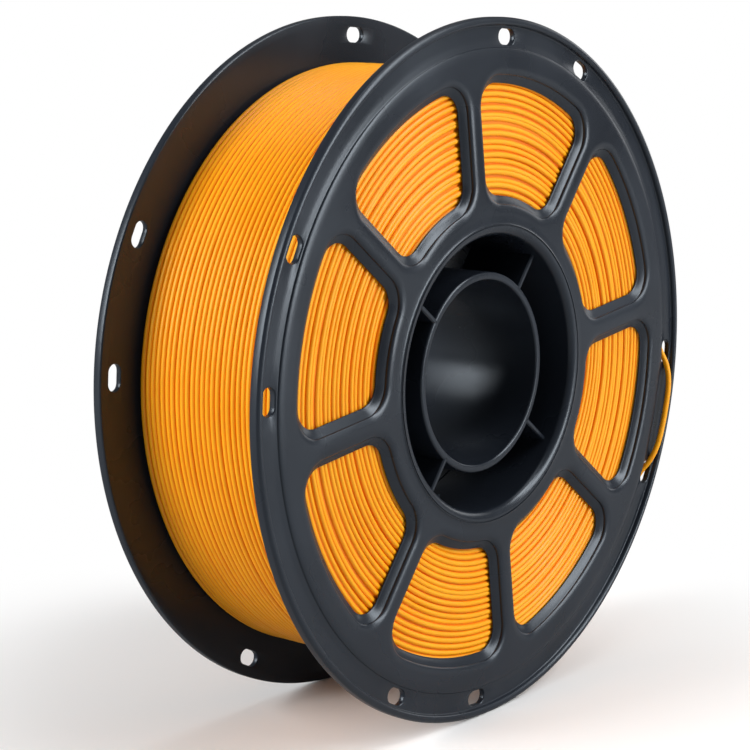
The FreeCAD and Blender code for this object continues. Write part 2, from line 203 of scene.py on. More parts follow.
def four_stretches(outer_half, side, inner_half):
    """A whole outline from its upper half, each stretch from one corner's middle to the next: the
    outer one, the upper side, the inner one and the lower side."""
    outer = np.concatenate([mirrored(outer_half), outer_half[1:]])
    inner = np.concatenate([inner_half, mirrored(inner_half)[1:]])
    return outer, side, inner, mirrored(side)


def window_ring(moved):
    """A window's outline moved out by some millimetres, its middle along the first axis. A corner
    is an arc whose centre lies its radius inside the outer or inner arc, and its radius plus half
    a spoke from the middle of the spoke."""
    half = PITCH / 2
    along = np.array([math.cos(half), math.sin(half)])
    inwards = np.array([math.sin(half), -math.cos(half)])
    aside = SPOKE / 2 + WINDOW_CORNER
    far = along * math.sqrt((WINDOW_OUTER - WINDOW_CORNER) ** 2 - aside ** 2) + inwards * aside
    near = along * math.sqrt((WINDOW_INNER + WINDOW_CORNER) ** 2 - aside ** 2) + inwards * aside
    far_turn, near_turn = math.atan2(far[1], far[0]), math.atan2(near[1], near[0]) + math.pi
    side_turn = half + math.pi / 2
    far_middle, near_middle = (far_turn + side_turn) / 2, (side_turn + near_turn) / 2
    corner = WINDOW_CORNER + moved
    outer_half = np.concatenate([arc((0, 0), WINDOW_OUTER + moved, 0, far_turn),
                                 arc(far, corner, far_turn, far_middle)[1:]])
    side = np.concatenate([arc(far, corner, far_middle, side_turn),
                           arc(near, corner, side_turn, near_middle)])
    inner_half = np.concatenate([arc(near, corner, near_middle, near_turn)[:-1],
                                 arc((0, 0), WINDOW_INNER - moved, near_turn - math.pi, 0)])
    return four_stretches(outer_half, side, inner_half)


def slot_ring(moved, aside):
    """A slot's outline moved out: straight lines and four arcs, centred on the slots' radius and
    turned aside by an angle."""
    corner, eighth = SLOT_CORNER + moved, TAU / 8
    out, up = SLOT_WIDE / 2 - SLOT_CORNER, SLOT_LONG / 2 - SLOT_CORNER
    far, near = (SLOT_RADIUS + out, up), (SLOT_RADIUS - out, up)
    outer_half = np.concatenate([[(far[0] + corner, 0)], arc(far, corner, 0, eighth)])
    side = np.concatenate([arc(far, corner, eighth, 2 * eighth),
                           arc(near, corner, 2 * eighth, 3 * eighth)])
    inner_half = np.concatenate([arc(near, corner, 3 * eighth, 4 * eighth), [(near[0] - corner, 0)]])
    return [rotated(line, aside) for line in four_stretches(outer_half, side, inner_half)]


def frame_ring(inner, outer, half):
    """The edge of a cell: two arcs about the axis and the two straight sides between them."""
    corner = np.array([math.cos(half), math.sin(half)])
    side = np.array([corner * outer, corner * inner])
    return arc((0, 0), outer, -half, half), side, arc((0, 0), inner, half, -half), mirrored(side)


def cell(ring, edge, profile, front, back, steps):
    """A holed cell of the plate: its edge at the front, the profile's rings, its edge at the back.
    Each ring runs the same number of points along each of its four stretches."""
    def points(stretches, height):
        line = np.concatenate([spread(stretch, n) for stretch, n in zip(stretches, steps)])
        return np.column_stack([line, np.full(len(line), height)])

    rows = [points(edge, front)]
    rows += [points(ring(moved), height) for moved, height in profile]
    rows.append(points(edge, back))
    return np.stack(rows)


# %% [markdown]
# One half, then. Seen from the front it is rings inside rings: the hub's lip with the barrel
# behind it, the windows, a broad ridge, the channel with its slots, and the rim's bead. A
# lathe profile makes each ring without holes. The edges are what a camera notices on dark
# plastic, since each rounded edge draws a line of light, so the profiles round every one.

# %% Profiles of the half
RING_INNER, RING_OUTER = 45.2, 88.4
ROLL, ROLL_DEEP = 2.6, 0.8
STEP, HAIR = 0.3, 0.04
SLOPE = 2.35


def window_profile():
    """Rings of a window, as millimetres moved out and height: the rolled edge, a small step, the
    sloping wall and its rounded foot, where the filament shows."""
    rolled = WEB - ROLL_DEEP
    stepped = rolled - STEP
    bend, toe = (0.2 - SLOPE, INNER_FACE + 0.32), (-SLOPE, INNER_FACE + 0.08)
    rings = [(ROLL, WEB)] + quarter((ROLL, WEB), (0, rolled), steps=10)
    rings += [(0, stepped), (-HAIR, stepped - HAIR), (-STEP, stepped - 2 * HAIR)]
    rings += [(0.5 - SLOPE, INNER_FACE + 0.5), bend]
    rings += quarter(bend, toe, steps=3)
    rings += [(-SLOPE, INNER_FACE), (0.3 - SLOPE, INNER_FACE)]
    return rings


def slot_profile():
    """Rings of a slot: a small round edge at both faces and a straight wall."""
    front, back = 0.3, 0.2
    rings = [(front, CHANNEL_FLOOR)]
    rings += quarter(rings[-1], (0, CHANNEL_FLOOR - front), steps=3)
    rings += [(0, INNER_FACE + back)]
    rings += quarter(rings[-1], (back, INNER_FACE), steps=2, first_along_radius=False)
    return rings


def hub_profile():
    """From the windows' ring over the lip, down inside the barrel and back up outside it. A fine
    groove parts the lip's flat outer band from its rounded inner one."""
    edge, groove, deep = 0.35, 0.12, 0.3
    foot = (LIP + 1.75, WEB + 0.02)
    outer_band, inner_band = (LIP + 0.3, FACE - 0.03), (LIP - 0.2, FACE - 0.06)
    profile = [(RING_INNER, WEB), (LIP + 1.9, WEB), foot]
    profile += quarter(foot, outer_band, steps=5)
    profile += [(LIP + 0.2, FACE - 0.05), (LIP + groove, FACE - deep), (LIP - groove, FACE - deep)]
    profile += [inner_band] + quarter(inner_band, (HOLLOW, FACE - 2.3), steps=10)
    profile += [(HOLLOW, FACE - 9.0), (HOLLOW, edge), (HOLLOW + edge, 0), (BARREL - edge, 0)]
    profile += [(BARREL, edge), (BARREL, INNER_FACE), (RING_INNER, INNER_FACE)]
    return profile


# %% [markdown]
# The ridge falls into the channel by a steep round slope, and the channel's floor runs up to
# meet it, as a tool leaves it. Past the channel, the bead stands higher and rolls over the rim.
# The floor's rise is added to the finished grids, because the slots' cells need it as well.

# %% Profiles of the ridge and the rim
COVE, COVE_WIDE, COVE_DEEP = 0.3, 2.2, 0.35


def ridge_profile():
    """From the windows' ring over the broad ridge down to the channel's floor."""
    crest, brow = (RING_OUTER + 0.4, WEB), (CHANNEL_INNER - 0.4, WEB - 0.5)
    profile = [(RING_OUTER, WEB), crest] + quarter(crest, brow, steps=9)
    foot = (CHANNEL_INNER, CHANNEL_FLOOR + COVE)
    profile += quarter(brow, foot, steps=4, first_along_radius=False)
    return profile


def rim_profile():
    """From the channel's floor over the bead, round the rim and back along the inner face."""
    foot, rise = (RIM - 2.6, CHANNEL_FLOOR), (RIM - 2.6 + 0.35, CHANNEL_FLOOR + 0.5)
    crest, back = (RIM - 1.35, FACE), (RIM, INNER_FACE + 0.5)
    profile = [(CHANNEL_OUTER, CHANNEL_FLOOR), foot]
    profile += quarter(foot, rise, steps=3)
    profile += quarter(rise, crest, steps=5, first_along_radius=False)
    profile += quarter(crest, (RIM, FACE - 0.9), steps=8)
    profile += [back] + quarter(back, (RIM - 0.5, INNER_FACE), steps=4, first_along_radius=False)
    profile += [(CHANNEL_OUTER, INNER_FACE)]
    return profile


def coved(grid):
    """Raise the channel's floor towards the ridge: by the square of what is left to the cove's
    far edge, so that the floor runs smoothly up into the ridge's slope."""
    radius = np.hypot(grid[..., 0], grid[..., 1])
    left = np.clip(1 - (radius - CHANNEL_INNER) / COVE_WIDE, 0, 1)
    lift = np.where(grid[..., 2] > CHANNEL_FLOOR - COVE_DEEP, COVE * left ** 2, 0)
    return grid + lift[..., None] * (0, 0, 1)


# %% [markdown]
# The plate puts the rings together. Their angles are shares of the windows' pitch, so that
# plain and holed rings meet point for point. A slot's cell is a quarter of that pitch wide,
# and the slot lies a little aside of the middle of its cell.

# %% The plate
STEPS, SIDE_STEPS = 48, 40
SLOT_STEPS, SLOT_SIDE_STEPS = STEPS // 4, 6
SLOT_MIDDLES, AROUND_SLOTS = (1 / 4, 3 / 4), (0, 1 / 8, 3 / 8, 5 / 8, 7 / 8, 1)


def slot_cell(aside):
    """A cell of the channel, with its slot turned aside by an angle."""
    edge = frame_ring(CHANNEL_INNER, CHANNEL_OUTER, PITCH / 8)
    return cell(lambda moved: slot_ring(moved, aside), edge, slot_profile(),
                CHANNEL_FLOOR, INNER_FACE, (SLOT_STEPS, SLOT_SIDE_STEPS) * 2)


def add_rings(half):
    """The rings without holes, and the inner face from the windows to the channel."""
    whole = np.linspace(0, TAU, WINDOWS * STEPS + 1)[:-1] + FIRST_SPOKE
    inner_face = [(RING_OUTER, INNER_FACE), (CHANNEL_INNER, INNER_FACE)]
    for profile in (hub_profile(), ridge_profile(), rim_profile(), inner_face):
        half.add(turned(profile, whole), around=True)


def add_windows(half):
    """The ring of windows, one cell to each pitch."""
    window = cell(window_ring, frame_ring(RING_INNER, RING_OUTER, PITCH / 2), window_profile(),
                  WEB, INNER_FACE, (STEPS, SIDE_STEPS, STEPS, SIDE_STEPS))
    for number in range(WINDOWS):
        half.add(rotated(window, FIRST_SPOKE + (number + 0.5) * PITCH), around=True)


def add_channel(half):
    """The channel's floor and the inner face behind it: plain stretches, and outside every second
    window a pair of slots."""
    aside = SLOT_SPREAD / 2 - PITCH / 4
    slots = slot_cell(-aside), slot_cell(aside)
    across = np.linspace(CHANNEL_INNER, CHANNEL_OUTER, SLOT_SIDE_STEPS + 1)
    for number in range(WINDOWS):
        start = FIRST_SPOKE + number * PITCH
        slotted = number % 2
        stops = AROUND_SLOTS if slotted else (0, 1)
        for first, last in zip(stops[::2], stops[1::2]):
            angles = start + np.linspace(first, last, round((last - first) * STEPS) + 1) * PITCH
            for height in (CHANNEL_FLOOR, INNER_FACE):
                half.add(coved(turned([(radius, height) for radius in across], angles)))
        if slotted:
            for slot, share in zip(slots, SLOT_MIDDLES):
                half.add(coved(rotated(slot, start + PITCH * share)), around=True)


# %% [markdown]
# Inside the barrel stands the tube that a holder's pin goes through, and four thin ribs carry
# it. Snap hooks stand on the barrel's inside, and their barbs reach past the joint to where the
# other half's catches would be; the catches aren't built. Booleans could join all this to the
# plate, but each is a closed shell of its own here, and ribs and hooks run a little way into the
# walls that hold them. Dark plastic shows no seam at such an inner corner, and the faces stay even.

# %% Tube, ribs and snap hooks
RIBS = 4
TUBE_STEPS = 160
HOOK_PLAY, HOOK_THICK, HOOK_SUNK = 0.25, 1.6, 0.5
HOOK_ROOT, HOOK_FOOT, HOOK_TIP = 10.0, 1.0, -6.0
BARB, BARB_TOP, BARB_FOOT = 1.0, -3.25, -3.75
HOOK_SPAN, HOOK_STEPS = math.radians(9), 12
HOOK_AFTER_RIB = TAU * 3 / 32


def add_bore(half):
    """The tube round the bore: a closed profile with a rounded mouth, turned about the axis."""
    whole = np.linspace(0, TAU, TUBE_STEPS + 1)[:-1]
    edge = 0.7
    inside, outside = (BORE, MOUTH - edge), (TUBE - edge, MOUTH)
    profile = [(BORE, 0), inside]
    profile += quarter(inside, (BORE + edge, MOUTH), steps=5, first_along_radius=False)
    profile += [outside] + quarter(outside, (TUBE, MOUTH - edge), steps=5)
    profile += [(TUBE, 0)]
    half.add(turned(profile, whole), around=True, closed=True)


def add_ribs(half):
    """The ribs between the tube and the barrel: an upright outline with its top corners cut,
    carried outwards, and shrunk to its middle at both ends, which lie inside the walls."""
    thick, foot, edge, sunk = 0.75, 3.0, 0.35, 1.0
    outline = np.array([(-thick, foot), (-thick, MOUTH - edge), (-thick + edge, MOUTH),
                        (thick - edge, MOUTH), (thick, MOUTH - edge), (thick, foot)])
    middle = np.array([0.0, (foot + MOUTH) / 2])
    ends = ((TUBE - sunk, 0.0), (TUBE - sunk + 0.1, 1.0), (HOLLOW + sunk - 0.1, 1.0), (HOLLOW + sunk, 0.0))
    rows = [np.column_stack([np.full(len(outline), out), middle + (outline - middle) * full])
            for out, full in ends]
    for number in range(RIBS):
        half.add(rotated(np.stack(rows), FIRST_SPOKE + (number + 0.5) * TAU / RIBS), around=True)


def add_hooks(half):
    """Snap hooks inside the barrel, one after each rib: a profile of radius and height, turned
    through the hook's span and closed by its middle at both ends."""
    outside = HOLLOW - HOOK_PLAY
    inside, sunk, barb = outside - HOOK_THICK, HOLLOW + HOOK_SUNK, HOLLOW + BARB
    profile = np.array([(inside, HOOK_ROOT), (sunk, HOOK_ROOT), (sunk, HOOK_FOOT), (outside, HOOK_FOOT),
                        (outside, BARB_TOP), (barb, BARB_TOP), (barb, BARB_FOOT), (outside, HOOK_TIP),
                        (inside, HOOK_TIP)])
    middle = profile.mean(axis=0)
    for number in range(RIBS):
        centre = FIRST_SPOKE + (number + 0.5) * TAU / RIBS + HOOK_AFTER_RIB
        angles = centre + np.linspace(-HOOK_SPAN / 2, HOOK_SPAN / 2, HOOK_STEPS + 1)
        body = turned(profile, angles)
        ends = [np.repeat(turned([middle], angles[[i]]), len(profile), 0) for i in (0, -1)]
        half.add(np.concatenate([ends[0], body, ends[1]], axis=1).transpose(1, 0, 2), around=True)


# %% [markdown]
# One mould makes both halves. The rear one is the front one turned half round about a line that
# runs between two slots, not a mirror image, and its hooks then come where the other half's catches would
# be.
# Mirroring the mesh would look the same from afar, but no single mould could make both.

# %% Both halves


def facing_front(points):
    """The half's own axes to the frame's: height above the joint runs towards -Y."""
    return np.stack([points[:, 0], -points[:, 2], points[:, 1]], -1)


def facing_rear(points):
    """The same moulding turned half round about the line between two slots, so an angle becomes
    twice that line's angle less itself."""
    double = 2 * (FIRST_SPOKE + 1.5 * PITCH)
    across = points[:, 0] * math.cos(double) + points[:, 1] * math.sin(double)
    up = points[:, 0] * math.sin(double) - points[:, 1] * math.cos(double)
    return np.stack([across, points[:, 2], up], -1)


def make_half(name, node, place):
    """One moulded half, in the place of its node."""
    half = Patches()
    for add in (add_rings, add_windows, add_channel, add_bore, add_ribs, add_hooks):
        add(half)
    piece = half.make(name, place)
    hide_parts(node)
    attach(piece, "root")
    return piece


flanges = [make_half("flange_front", "flange_half_front", facing_front),
           make_half("flange_rear", "flange_half_rear", facing_rear)]

# %% [markdown]
# The strand. Filament is wound turn beside turn, layer on layer, and it is never quite even: a
# turn sits a tenth of a millimetre high here and is pulled in there. Blender could bevel a
# curve into a tube, but a grid of our own also tells each point how far it lies on the open
# side, and the painted shade in the grooves between turns needs that.

# %% A tube along a path
DOME_STEPS = 3


def tube(path, facing, thick, sides):
    """Carry a circle along a path of points, with a dome at both ends. The circle lies across the
    path's direction, and its first spoke points to the strand's open side. The second result is
    the cosine of the angle from that spoke, which tells crowns from the grooves between turns."""
    ahead = np.roll(path, -1, 0) - np.roll(path, 1, 0)
    ahead[0], ahead[-1] = path[1] - path[0], path[-1] - path[-2]
    ahead /= np.linalg.norm(ahead, axis=1, keepdims=True)
    out = facing - ahead * (facing * ahead).sum(1, keepdims=True)
    out /= np.linalg.norm(out, axis=1, keepdims=True)
    aside = np.cross(ahead, out)
    turn = np.linspace(0, TAU, sides + 1)[:-1][None, :, None]
    circle = out[:, None] * np.cos(turn) + aside[:, None] * np.sin(turn)
    dome = np.linspace(0, math.pi / 2, DOME_STEPS + 1)[1:, None, None]
    beyond, shrink = np.sin(dome) * thick / 4, np.cos(dome) * thick / 2
    first = path[0] - ahead[0] * beyond + circle[0] * shrink
    last = path[-1] + ahead[-1] * beyond + circle[-1] * shrink
    grid = np.concatenate([first[::-1], path[:, None] + circle * thick / 2, last])
    return grid, np.cos(turn[..., 0])


def radial(path):
    """The direction away from the spool's axis at each point of a path."""
    out = path * (1, 0, 1)
    return out / np.linalg.norm(out, axis=1, keepdims=True)


def wander(rng, gone, rate, size):
    """A smooth random curve: chance heights, a number of them for each turn, joined by steps that
    start and end level."""
    place = gone * rate
    below = np.floor(place).astype(int)
    heights = rng.normal(0, size, below.max() + 2)
    part = place - below
    eased = part * part * (3 - 2 * part)
    return heights[below] * (1 - eased) + heights[below + 1] * eased


def in_place(points):
    """The winding is drawn in the frame's own axes, so its points stay as they are."""
    return points


# %% [markdown]
# The outer layer is what shows between the flanges: 28 turns, side by side. Lines on a plain
# drum would be cheaper, but their grooves would have no depth and the drum's edge would be
# straight. A helix of real turns catches the light as round things do. The turns stray by a
# little, but the last quarter of the last one runs true, to meet the strand's parked end.

# %% The outer layer
LEAVES = math.radians(19.9)
TURNS, TURN_STEPS, LAYER_SIDES = 28, 160, 12
LAYER = WOUND - STRAND / 2
LAST_TURN = INNER_FACE - 1.3
CALM_TURNS = 0.25
SIDEWAYS, INWARDS = (2.3, 0.08), (3.1, 0.09)


def outer_layer():
    """A helix that ends where the strand's end leaves: the angle falls by a turn for each turn
    laid, while the place along the axis moves steadily from the rear flange to the front one."""
    rng = np.random.default_rng(11)
    gone = np.linspace(0, TURNS, TURNS * TURN_STEPS + 1)
    angle = LEAVES + TAU * (TURNS - gone)
    first = SIDE - STRAND / 2
    calm = np.clip((TURNS - gone) / CALM_TURNS, 0, 1)
    along = first - (LAST_TURN + first) * gone / TURNS + wander(rng, gone, *SIDEWAYS) * calm
    radius = LAYER - np.abs(wander(rng, gone, *INWARDS)) * calm
    return np.stack([radius * np.cos(angle), along, radius * np.sin(angle)], -1)


layer_path = outer_layer()
layer = Patches()
layer_tube, layer_crown = tube(layer_path, radial(layer_path), STRAND, LAYER_SIDES)
layer.add(layer_tube, around=True, crown=layer_crown)
winding_outer = layer.make("winding_outer_turns", in_place, crease=ROUND_CREASE)

# %% [markdown]
# Through the windows the last turn of every layer shows, as rings. They are one strand too: at
# the end of each layer it climbs by one pitch to the next, always at about the same place. So
# each side of the winding is one long spiral, and no ring has to be closed. Real rings aren't
# round: they bulge together, and part here and there, and even ones would look machined.

# %% The ends of the layers, at both sides
CLIMBS, CLIMB_STEPS, CLIMB_SIDES = 24, 180, 10
CLIMB_AT, CLIMB_DRIFT, CLIMB_SHARE = math.radians(262), 0.035, 0.16
WINDING_FOOT = BARREL + 0.1
WAVES = ((0.42, 2, 0.21, 0), (0.30, 3, -0.17, 1))
UNROUND, DEEPER, DEEPER_FOR_LONG = (4, 0.23), (3, 0.30), (1, 0.16)


def side_turns(front):
    """The last turn of each layer, as one strand. It keeps its radius for most of a turn and then
    climbs by a pitch. Long waves, shared with its neighbours, bend the rings out of round: each is
    its height times the sine of so many times the angle, shifted from ring to ring. Short chance
    ones part the rings, and some turns lie deeper than the rest."""
    rng = np.random.default_rng(23 if front else 37)
    lowest = WINDING_FOOT + STRAND / 2
    pitch = (LAYER - lowest) / CLIMBS
    gone = np.linspace(0, CLIMBS, CLIMBS * CLIMB_STEPS + 1)
    angle = CLIMB_AT + (TAU + CLIMB_DRIFT) * gone
    part = np.clip((gone % 1 - 1 + CLIMB_SHARE) / CLIMB_SHARE, 0, 1)
    climbed = np.floor(gone) + part * part * (3 - 2 * part)
    climbed[-1] = CLIMBS
    held = np.sin(np.pi * climbed / CLIMBS)
    waves = sum(high * np.sin(count * angle + shift * gone + start) for high, count, shift, start in WAVES)
    radius = lowest + pitch * climbed + held * (waves + wander(rng, gone, *UNROUND))
    deeper = np.abs(wander(rng, gone, *DEEPER)) + np.abs(wander(rng, gone, *DEEPER_FOR_LONG))
    outwards = -1.0 if front else 1.0
    along = (SIDE - STRAND / 2 - deeper) * outwards
    path = np.stack([radius * np.cos(angle), along, radius * np.sin(angle)], -1)
    turns = Patches()
    grid, crown = tube(path, np.broadcast_to((0, outwards, 0), path.shape), STRAND, CLIMB_SIDES)
    turns.add(grid, around=True, crown=crown)
    name = "winding_side_front" if front else "winding_side_rear"
    return turns.make(name, in_place, crease=ROUND_CREASE)


winding_sides = [side_turns(True), side_turns(False)]

# %% [markdown]
# Under the turns that show lie hundreds that don't. One plain drum stands in for them, so that
# no light comes through the winding, and it costs almost nothing. It is given the grooves'
# painted shade colour all over.

# %% The core under the turns
CORE_INSET, CORE_STEPS = 1.05, 96


def core():
    """A closed profile turned about the axis: a drum that ends a little under the turns."""
    whole = np.linspace(0, TAU, CORE_STEPS + 1)[:-1]
    half, outside = SIDE - CORE_INSET, LAYER - STRAND / 4
    profile = [(WINDING_FOOT, -half), (WINDING_FOOT, half), (outside, half), (outside, -half)]
    drum = Patches()
    # crown -1 paints the whole drum in the grooves' painted shade colour
    drum.add(turned(profile, whole)[..., [0, 2, 1]], around=True, closed=True, crown=-1.0)
    return drum.make("winding_core", in_place)


winding_core = core()
for piece in (winding_core, *winding_sides):
    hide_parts("winding_inner_layers")
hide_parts("winding_outer_layer")

# %% [markdown]
# The strand's end is parked: out through one slot of the rim, along the channel and back in
# through the next slot, so that the winding can't spring open. Its points are given one by one,
# as the solid model's were, but the curve through them is a smooth spline in place of runs and
# arcs, and its bow lies nearer to the rim.

# %% The strand's end
STRAIGHT_RUN = 18.0
END_SIDES, SPLINE_STEPS = 16, 14
ROUTE = (
    (0, -1.6, -0.5, -4.6),
    (0, 3.6, 0.3, 0.9),
    (0.5, 0.0, 0.3, 1.0),
    (1, -3.6, 0.3, 0.6),
    (1, 1.6, 0.0, -4.6),
    (1, 6.2, -0.6, -4.4),
)


def route_points():
    """The route as places: which slot of the pair, degrees on from its middle, millimetres out
    from the slots' radius and out from the rim's face. A straight run leads up to it."""
    start = layer_path[-1]
    heading = np.array([math.sin(LEAVES), 0, -math.cos(LEAVES)])
    points = [start, start + heading * STRAIGHT_RUN]
    pair = FIRST_SPOKE - PITCH / 2
    for slot, onward, outward, height in ROUTE:
        turn = pair + SLOT_SPREAD * (0.5 - slot) - math.radians(onward)
        radius = SLOT_RADIUS + outward
        points.append(np.array([radius * math.cos(turn), -FACE - height, radius * math.sin(turn)]))
    return np.array(points)


def spline(points):
    """A smooth curve that starts and ends at the end points and leans towards the others: each
    stretch runs from the middle of one leg to the middle of the next, drawn by their corner."""
    middles = (points[1:] + points[:-1]) / 2
    middles[0], middles[-1] = points[0], points[-1]
    part = np.linspace(0, 1, SPLINE_STEPS + 1)[:-1][:, None]
    bends = [(1 - part) ** 2 * a + 2 * part * (1 - part) * corner + part ** 2 * b
             for a, corner, b in zip(middles, points[1:-1], middles[1:])]
    return np.concatenate(bends + [points[-1:]])


end_path = spline(route_points())
end = Patches()
end_tube, _ = tube(end_path, radial(end_path), STRAND, END_SIDES)
end.add(end_tube, around=True, crown=1.0)
strand_end = end.make("strand_free_end", in_place, crease=ROUND_CREASE)
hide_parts("strand_end")
end_length = np.linalg.norm(np.diff(end_path, axis=0), axis=1).sum()
print("strand's end", round(float(end_length), 1), "mm")

filament_pieces = (winding_core, *winding_sides, winding_outer, strand_end)
for piece in filament_pieces:
    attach(piece, "root")

# %% [markdown]
# Finishes. Both plastics need the same thing, a slow drift of colour and gloss and a fine
# grain, and either could be painted. Noise costs less and fits any piece, so that is one group
# of nodes, with its own values in each material. Light that falls between two turns is shaded
# and reddened by the plastic before it gets out, so the group also paints that shade: a deeper
# colour for the grooves, which it finds by the crown value of each point.

# %% The group of drift, grain and painted groove shade
INPUTS = (("Colour", "Color"), ("Drifted Colour", "Color"), ("Groove Shade Colour", "Color"), ("Groove", "Float"),
          ("Drift Scale", "Float"), ("Roughness Low", "Float"), ("Roughness High", "Float"),
          ("Grain Scale", "Float"), ("Grain Depth", "Float"))
OUTPUTS = (("Colour", "Color"), ("Roughness", "Float"), ("Normal", "Vector"))
DRIFT_FROM, DRIFT_TO = 0.35, 0.65
FLANK_SHADE_FROM, FLANK_SHADE_TO = 0.95, 0.1
GRAIN_HEIGHT = 0.0001


def new_group():
    """Drift mixes two colours and two roughnesses by slow noise, and grain is a fine bump. The
    crown of a strand keeps that colour, and its sides turn to the groove's painted shade colour."""
    group = bpy.data.node_groups.new("drift_grain_and_groove_shade", "ShaderNodeTree")
    for sockets, side in ((INPUTS, "INPUT"), (OUTPUTS, "OUTPUT")):
        for name, kind in sockets:
            group.interface.new_socket(name, in_out=side, socket_type="NodeSocket" + kind)
    nodes, link = group.nodes, group.links.new
    given, made = nodes.new("NodeGroupInput"), nodes.new("NodeGroupOutput")
    place, crown = nodes.new("ShaderNodeTexCoord"), nodes.new("ShaderNodeAttribute")
    crown.attribute_name = "crown"
    drift, grain = nodes.new("ShaderNodeTexNoise"), nodes.new("ShaderNodeTexNoise")
    for noise, scale, detail in ((drift, "Drift Scale", 4.0), (grain, "Grain Scale", 3.0)):
        noise.inputs["Detail"].default_value = detail
        link(place.outputs["Object"], noise.inputs["Vector"])
        link(given.outputs[scale], noise.inputs["Scale"])
    # flank_shade is how much painted shade a point gets: none on a strand's crown, the Groove value on its
    # flanks
    drifted, flank_shade = nodes.new("ShaderNodeMapRange"), nodes.new("ShaderNodeMapRange")
    for ramp, source, low, high in ((drifted, drift.outputs["Fac"], DRIFT_FROM, DRIFT_TO),
                                    (flank_shade, crown.outputs["Fac"], FLANK_SHADE_FROM, FLANK_SHADE_TO)):
        ramp.inputs["From Min"].default_value, ramp.inputs["From Max"].default_value = low, high
        link(source, ramp.inputs["Value"])
    link(given.outputs["Groove"], flank_shade.inputs["To Max"])
    # groove_shaded mixes the painted groove shade colour into the drifted colour
    colour, groove_shaded = nodes.new("ShaderNodeMix"), nodes.new("ShaderNodeMix")
    colour.data_type = groove_shaded.data_type = "RGBA"
    for mix, factor, first, second in (
            (colour, drifted, given.outputs["Colour"], given.outputs["Drifted Colour"]),
            (groove_shaded, flank_shade, colour.outputs["Result"], given.outputs["Groove Shade Colour"])):
        link(factor.outputs["Result"], mix.inputs["Factor"])
        link(first, mix.inputs["A"])
        link(second, mix.inputs["B"])
    rough = nodes.new("ShaderNodeMapRange")
    link(drifted.outputs["Result"], rough.inputs["Value"])
    link(given.outputs["Roughness Low"], rough.inputs["To Min"])
    link(given.outputs["Roughness High"], rough.inputs["To Max"])
    bump = nodes.new("ShaderNodeBump")
    bump.inputs["Distance"].default_value = GRAIN_HEIGHT
    link(given.outputs["Grain Depth"], bump.inputs["Strength"])
    link(grain.outputs["Fac"], bump.inputs["Height"])
    link(groove_shaded.outputs["Result"], made.inputs["Colour"])
    link(rough.outputs["Result"], made.inputs["Roughness"])
    link(bump.outputs["Normal"], made.inputs["Normal"])
    return group


drift_grain_and_groove_shade = new_group()
print("group", drift_grain_and_groove_shade.name, "with", len(drift_grain_and_groove_shade.nodes), "nodes")


def finish_of(name, changing, fixed):
    """A material whose colour, roughness and bump come from the group. What stays the same all
    over is set on the shader itself."""
    material = bpy.data.materials.new(name)
    material.use_nodes = True
    nodes, link = material.node_tree.nodes, material.node_tree.links.new
    shader, group = nodes["Principled BSDF"], nodes.new("ShaderNodeGroup")
    group.node_tree = drift_grain_and_groove_shade
    for node, values in ((group, changing), (shader, fixed)):
        for socket, value in values.items():
            node.inputs[socket].default_value = value
    for output, socket in (("Colour", "Base Color"), ("Roughness", "Roughness"), ("Normal", "Normal")):
        link(group.outputs[output], shader.inputs[socket])
    return material


# %% [markdown]
# The charcoal is satin, nearly black and a little cool. What shows its form is the light that
# it mirrors, so its gloss matters more than its colour, and its mirrored light is tinted a
# little blue. The amber is duller and a little cloudy: some light spreads under its surface,
# red light farthest. Its grooves get a deeper orange, painted shade, and the plain charcoal has none.

# %% Charcoal plastic and amber filament
charcoal = finish_of("charcoal_plastic", {
    "Colour": (0.011, 0.014, 0.020, 1),
    "Drifted Colour": (0.015, 0.019, 0.027, 1),
    # The charcoal gets no painted groove shade.
    "Groove Shade Colour": (0.011, 0.014, 0.020, 1),
    "Groove": 0.0,
    "Drift Scale": 22.0,
    "Roughness Low": 0.24,
    "Roughness High": 0.33,
    "Grain Scale": 2600.0,
    "Grain Depth": 0.12,
}, {
    "Specular IOR Level": 0.42,
    "Specular Tint": (0.8, 0.9, 1.0, 1),
})
amber = finish_of("amber_filament", {
    "Colour": (0.97, 0.385, 0.004, 1),
    "Drifted Colour": (0.985, 0.42, 0.006, 1),
    # Painted shade: the strand's flanks take this deeper orange between turns, at the Groove strength
    # below.
    "Groove Shade Colour": (0.86, 0.19, 0.002, 1),
    "Groove": 0.85,
    "Drift Scale": 60.0,
    "Roughness Low": 0.34,
    "Roughness High": 0.48,
    "Grain Scale": 900.0,
    "Grain Depth": 0.08,
}, {
    "Specular IOR Level": 0.3,
    "Subsurface Weight": 0.12,
    "Subsurface Scale": 0.0012,
    "Subsurface Radius": (1.0, 0.35, 0.05),
})
for material, pieces in ((charcoal, flanges), (amber, filament_pieces)):
    for piece in pieces:
        piece.data.materials.append(material)
    print(material.name, "on", len(pieces), "pieces")

# %% [markdown]
# The stage: a pale floor, a white surround and soft lamps. Away from the spool the floor turns
# white for the camera, so that no horizon shows, and near it the floor keeps its shadow. The
# surround is white only where the camera sees it, so it doesn't wash out the dark plastic. The
# floor is darker for the light that it throws back, for the same reason.

# %% Floor and surround
FLOOR_SIZE = 8.0
FLOOR_THROWS, FLOOR_SHOWS = 0.45, 0.95
SHADOW_REACH = (0.09, 0.20)
SURROUND_LIGHT = 0.15
scene = bpy.context.scene
scene.view_settings.view_transform = "Standard"


